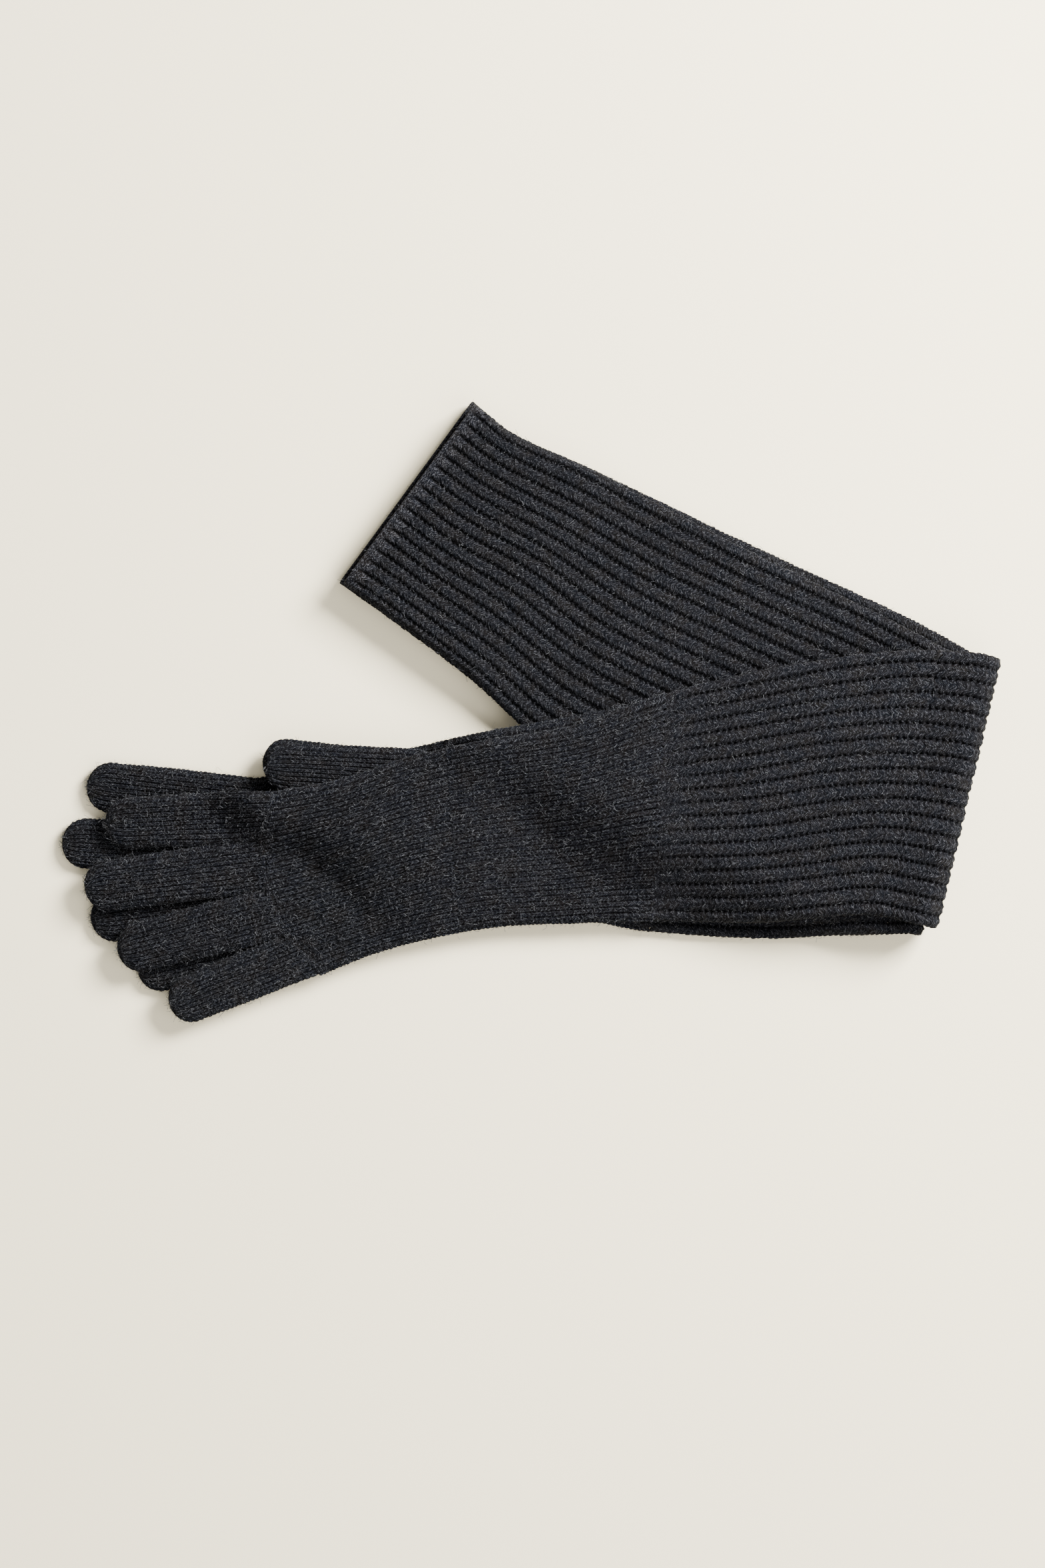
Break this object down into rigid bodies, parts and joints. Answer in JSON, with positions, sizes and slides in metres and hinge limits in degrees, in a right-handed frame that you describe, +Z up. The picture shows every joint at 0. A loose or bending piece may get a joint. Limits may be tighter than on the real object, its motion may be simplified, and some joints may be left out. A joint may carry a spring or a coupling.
{
  "type": "pair of long knitted gloves",
  "caption": "Pair of long charcoal wool gloves, plain-knitted hands and ribbed sleeves, laid palm to palm with the sleeves folded under.",
  "frame": {"origin": "centre of the object's footprint, on the surface it lies on", "axes": "+X from the fingertips towards the fold in the sleeves, +Y from the little fingers towards the sleeves' open ends, +Z up"},
  "size_m": [0.3878, 0.2568, 0.0242],
  "materials": {
    "rib_knit": "matt brushed wool, one by one rib",
    "plain_knit": "matt brushed wool, plain knit",
    "finger_knit": "matt brushed wool, plain knit tubes",
    "bound_edge": "matt wool, bound-off edge"
  },
  "bodies": {
    "sleeve_ends": {"left_glove_sleeve_end": "rib_knit", "left_glove_sleeve_welt": "bound_edge", "right_glove_sleeve_end": "rib_knit", "right_glove_sleeve_welt": "bound_edge"},
    "left_glove_sleeve": {"left_glove_sleeve": "rib_knit", "left_glove_wrist": "plain_knit"},
    "left_glove_hand": {"left_glove_hand": "plain_knit"},
    "left_glove_index_finger": {"left_glove_index_finger": "finger_knit"},
    "left_glove_middle_finger": {"left_glove_middle_finger": "finger_knit"},
    "left_glove_ring_finger": {"left_glove_ring_finger": "finger_knit"},
    "left_glove_little_finger": {"left_glove_little_finger": "finger_knit"},
    "left_glove_thumb": {"left_glove_thumb": "finger_knit"},
    "right_glove_sleeve": {"right_glove_sleeve": "rib_knit", "right_glove_wrist": "plain_knit"},
    "right_glove_hand": {"right_glove_hand": "plain_knit"},
    "right_glove_index_finger": {"right_glove_index_finger": "finger_knit"},
    "right_glove_middle_finger": {"right_glove_middle_finger": "finger_knit"},
    "right_glove_ring_finger": {"right_glove_ring_finger": "finger_knit"},
    "right_glove_little_finger": {"right_glove_little_finger": "finger_knit"},
    "right_glove_thumb": {"right_glove_thumb": "finger_knit"}
  },
  "joints": [
    {"name": "left_sleeve_fold", "type": "hinge", "parent": "sleeve_ends", "child": "left_glove_sleeve", "pos_m": [0.1816, -0.0336, 0.01085], "axis": [0.2317, 0.9728, 0], "range_deg": [0, 180]},
    {"name": "left_wrist_bend", "type": "hinge", "parent": "left_glove_sleeve", "child": "left_glove_hand", "pos_m": [-0.01647, -0.05006, 0.0223], "axis": [-0.0645, 0.9979, 0], "range_deg": [0, 75]},
    {"name": "left_index_finger_bend", "type": "hinge", "parent": "left_glove_hand", "child": "left_glove_index_finger", "pos_m": [-0.11094, -0.0422, 0.0081], "axis": [-0.2588, 0.9659, 0], "range_deg": [0, 90]},
    {"name": "left_middle_finger_bend", "type": "hinge", "parent": "left_glove_hand", "child": "left_glove_middle_finger", "pos_m": [-0.11243, -0.06367, 0.0081], "axis": [-0.2588, 0.9659, 0], "range_deg": [0, 90]},
    {"name": "left_ring_finger_bend", "type": "hinge", "parent": "left_glove_hand", "child": "left_glove_ring_finger", "pos_m": [-0.10712, -0.08347, 0.0081], "axis": [-0.2588, 0.9659, 0], "range_deg": [0, 90]},
    {"name": "left_little_finger_bend", "type": "hinge", "parent": "left_glove_hand", "child": "left_glove_little_finger", "pos_m": [-0.09426, -0.10057, 0.0081], "axis": [-0.2588, 0.9659, 0], "range_deg": [0, 90]},
    {"name": "left_thumb_spread", "type": "hinge", "parent": "left_glove_hand", "child": "left_glove_thumb", "pos_m": [-0.04687, -0.02549, 0.0096], "axis": [0, 0, -1], "range_deg": [0, 45]},
    {"name": "right_sleeve_fold", "type": "hinge", "parent": "sleeve_ends", "child": "right_glove_sleeve", "pos_m": [0.1816, -0.0336, 0.01085], "axis": [0.2317, 0.9728, 0], "range_deg": [0, 180]},
    {"name": "right_wrist_bend", "type": "hinge", "parent": "right_glove_sleeve", "child": "right_glove_hand", "pos_m": [-0.01736, -0.04767, 0], "axis": [0.0645, -0.9979, 0], "range_deg": [0, 75]},
    {"name": "right_index_finger_bend", "type": "hinge", "parent": "right_glove_hand", "child": "right_glove_index_finger", "pos_m": [-0.11935, -0.03658, 0.0026], "axis": [0.2164, -0.9763, 0], "range_deg": [0, 90]},
    {"name": "right_middle_finger_bend", "type": "hinge", "parent": "right_glove_hand", "child": "right_glove_middle_finger", "pos_m": [-0.12178, -0.05797, 0.0026], "axis": [0.2164, -0.9763, 0], "range_deg": [0, 90]},
    {"name": "right_ring_finger_bend", "type": "hinge", "parent": "right_glove_hand", "child": "right_glove_ring_finger", "pos_m": [-0.11734, -0.07798, 0.0026], "axis": [0.2164, -0.9763, 0], "range_deg": [0, 90]},
    {"name": "right_little_finger_bend", "type": "hinge", "parent": "right_glove_hand", "child": "right_glove_little_finger", "pos_m": [-0.10523, -0.09563, 0.0026], "axis": [0.2164, -0.9763, 0], "range_deg": [0, 90]},
    {"name": "right_thumb_spread", "type": "hinge", "parent": "right_glove_hand", "child": "right_glove_thumb", "pos_m": [-0.04396, -0.02796, 0.0055], "axis": [0, 0, -1], "range_deg": [0, 45]}
  ],
  "couplings": [
    {"joint": "right_sleeve_fold", "follows": "left_sleeve_fold", "ratio": 1}
  ]
}
